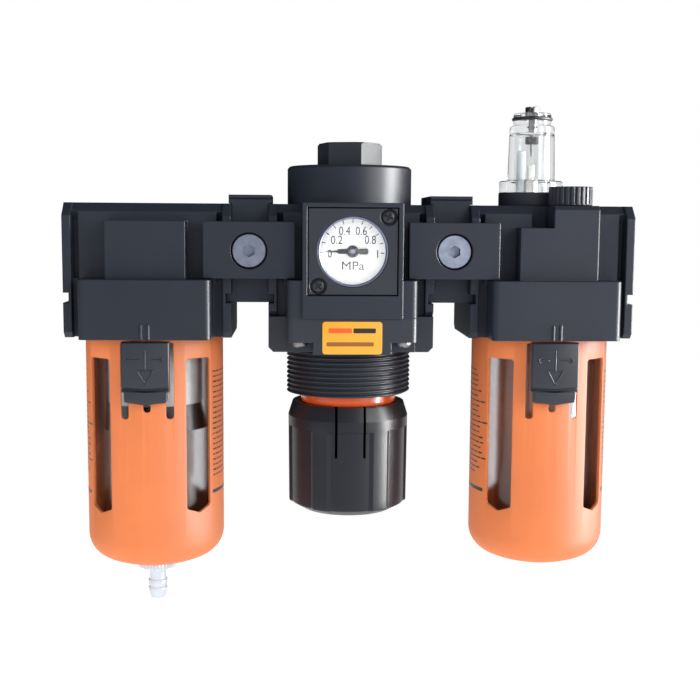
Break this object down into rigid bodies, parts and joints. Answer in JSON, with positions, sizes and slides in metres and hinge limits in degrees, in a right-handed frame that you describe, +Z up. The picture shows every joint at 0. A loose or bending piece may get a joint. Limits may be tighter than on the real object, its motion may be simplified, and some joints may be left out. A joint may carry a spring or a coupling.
{
  "type": "filter regulator lubricator",
  "caption": "Modular compressed-air filter, pressure regulator with square gauge, and oil-mist lubricator joined in a row by clamped spacers.",
  "frame": {"origin": "centre of the inlet port's mouth, on the filter's left face", "axes": "+X runs along the port axis from inlet to outlet, +Z is up, and the gauge faces -Y"},
  "size_m": [0.238, 0.0713, 0.2173],
  "materials": {
    "cast_black": "satin blue-black paint on die-cast aluminium",
    "moulded_black": "satin black moulded plastic",
    "knob_black": "satin black moulded plastic",
    "guard_paint": "smooth orange powder paint on steel",
    "clear_bowl": "clear polycarbonate",
    "ring_orange": "glossy orange plastic",
    "seal_rubber": "black nitrile rubber",
    "element_white": "sintered white plastic",
    "inner_plastic": "black moulded plastic",
    "drain_white": "translucent white plastic",
    "screw_zinc": "zinc-plated steel",
    "screw_steel": "plated steel",
    "screw_black": "black-oxide steel",
    "spring_steel": "spring steel",
    "inner_metal": "machined",
    "gauge_metal": "bright metal",
    "dial_white": "white printed dial",
    "pointer_black": "black painted needle",
    "lens_clear": "clear window",
    "dome_clear": "clear polycarbonate",
    "tube_clear": "translucent nylon tube",
    "label_yellow": "printed film label with no text"
  },
  "bodies": {
    "unit_row": {"filter_body": "cast_black", "filter_deflector": "inner_plastic", "filter_element": "element_white", "filter_baffle": "inner_plastic", "filter_element_bolt": "inner_plastic", "regulator_body": "cast_black", "valve_cap": "moulded_black", "valve_cap_oring": "seal_rubber", "diaphragm": "seal_rubber", "regulator_bonnet": "moulded_black", "bonnet_screws": "screw_steel", "knob_lock_ring": "ring_orange", "adjusting_spring": "spring_steel", "valve_spring": "spring_steel", "gauge_cover": "moulded_black", "gauge_cover_screws": "screw_black", "gauge_case": "gauge_metal", "gauge_dial": "dial_white", "gauge_lens": "lens_clear", "gauge_bezel": "gauge_metal", "label_plate": "label_yellow", "lubricator_body": "cast_black", "siphon_tube": "tube_clear", "siphon_strainer": "inner_plastic", "flow_damper": "seal_rubber", "sight_dome": "dome_clear", "sight_dome_oring": "seal_rubber", "dome_collar": "moulded_black", "drip_nozzle": "screw_steel", "spacer_left": "cast_black", "spacer_right": "cast_black", "clamp_plate_front_left": "cast_black", "clamp_plate_front_right": "cast_black", "clamp_plate_rear_left": "cast_black", "clamp_plate_rear_right": "cast_black", "clamp_screws": "screw_zinc", "port_seals": "seal_rubber"},
    "filter_bowl_set": {"filter_bowl": "clear_bowl", "filter_bowl_guard": "guard_paint", "filter_bowl_oring": "seal_rubber", "drain_guide": "drain_white", "filter_lock_spring": "spring_steel"},
    "filter_lock": {"filter_lock_button": "moulded_black"},
    "drain": {"drain_cock": "drain_white", "drain_oring": "seal_rubber"},
    "lubricator_bowl_set": {"lubricator_bowl": "clear_bowl", "lubricator_bowl_guard": "guard_paint", "lubricator_bowl_oring": "seal_rubber", "lubricator_lock_spring": "spring_steel"},
    "lubricator_lock": {"lubricator_lock_button": "moulded_black"},
    "spindle": {"adjusting_screw": "screw_steel"},
    "knob": {"pressure_knob": "knob_black"},
    "seat": {"spring_seat": "inner_metal"},
    "valve": {"valve_stem": "inner_metal", "diaphragm_plate": "inner_metal"},
    "pointer": {"gauge_pointer": "pointer_black"},
    "needle": {"needle_valve": "screw_steel"},
    "filler_seal": {"filler_plug_oring": "seal_rubber"},
    "filler": {"filler_plug": "moulded_black"}
  },
  "joints": [
    {"name": "filter_bowl_turn", "type": "hinge", "parent": "unit_row", "child": "filter_bowl_set", "pos_m": [0.0345, 0, -0.08], "axis": [0, 0, 1], "range_deg": [0, 45]},
    {"name": "filter_lock_press", "type": "slide", "parent": "filter_bowl_set", "child": "filter_lock", "axis": [0, 0, -1], "range_m": [0, 0.004], "stiffness_N_per_m": 1500, "springref_m": -0.001, "deforming": ["filter_lock_spring"]},
    {"name": "drain_turn", "type": "hinge", "parent": "filter_bowl_set", "child": "drain", "pos_m": [0.0345, 0, -0.14], "axis": [0, 0, 1], "range_deg": [0, 90]},
    {"name": "lubricator_bowl_turn", "type": "hinge", "parent": "unit_row", "child": "lubricator_bowl_set", "pos_m": [0.2035, 0, -0.08], "axis": [0, 0, 1], "range_deg": [0, 45]},
    {"name": "lubricator_lock_press", "type": "slide", "parent": "lubricator_bowl_set", "child": "lubricator_lock", "axis": [0, 0, -1], "range_m": [0, 0.004], "stiffness_N_per_m": 1500, "springref_m": -0.001, "deforming": ["lubricator_lock_spring"]},
    {"name": "pressure_turn", "type": "hinge", "parent": "unit_row", "child": "spindle", "pos_m": [0.119, 0, -0.06], "axis": [0, 0, 1], "range_deg": [0, 1440]},
    {"name": "knob_lock", "type": "slide", "parent": "spindle", "child": "knob", "axis": [0, 0, 1], "range_m": [0, 0.0025]},
    {"name": "seat_rise", "type": "slide", "parent": "unit_row", "child": "seat", "axis": [0, 0, 1], "range_m": [0, 0.006], "deforming": ["adjusting_spring"]},
    {"name": "valve_lift", "type": "slide", "parent": "unit_row", "child": "valve", "axis": [0, 0, 1], "range_m": [0, 0.0015], "stiffness_N_per_m": 2000, "springref_m": -0.001, "deforming": ["valve_spring"]},
    {"name": "pointer_turn", "type": "hinge", "parent": "unit_row", "child": "pointer", "pos_m": [0.119, -0.031, 0], "axis": [0, 1, 0], "range_deg": [0, 184], "stiffness_Nm_per_rad": 0.0002, "springref_deg": -11.46},
    {"name": "needle_turn", "type": "hinge", "parent": "unit_row", "child": "needle", "pos_m": [0.1989, 0.003, 0.06], "axis": [0, 0, 1], "range_deg": [0, 1080]},
    {"name": "filler_rise", "type": "slide", "parent": "unit_row", "child": "filler_seal", "axis": [0, 0, 1], "range_m": [0, 0.00375]},
    {"name": "filler_turn", "type": "hinge", "parent": "filler_seal", "child": "filler", "pos_m": [0.2116, -0.018, 0.02], "axis": [0, 0, 1], "range_deg": [0, 1080]}
  ],
  "couplings": [
    {"joint": "seat_rise", "follows": "pressure_turn", "m_per_rad": 0.00023873},
    {"joint": "filler_rise", "follows": "filler_turn", "m_per_rad": 0.00019894}
  ]
}
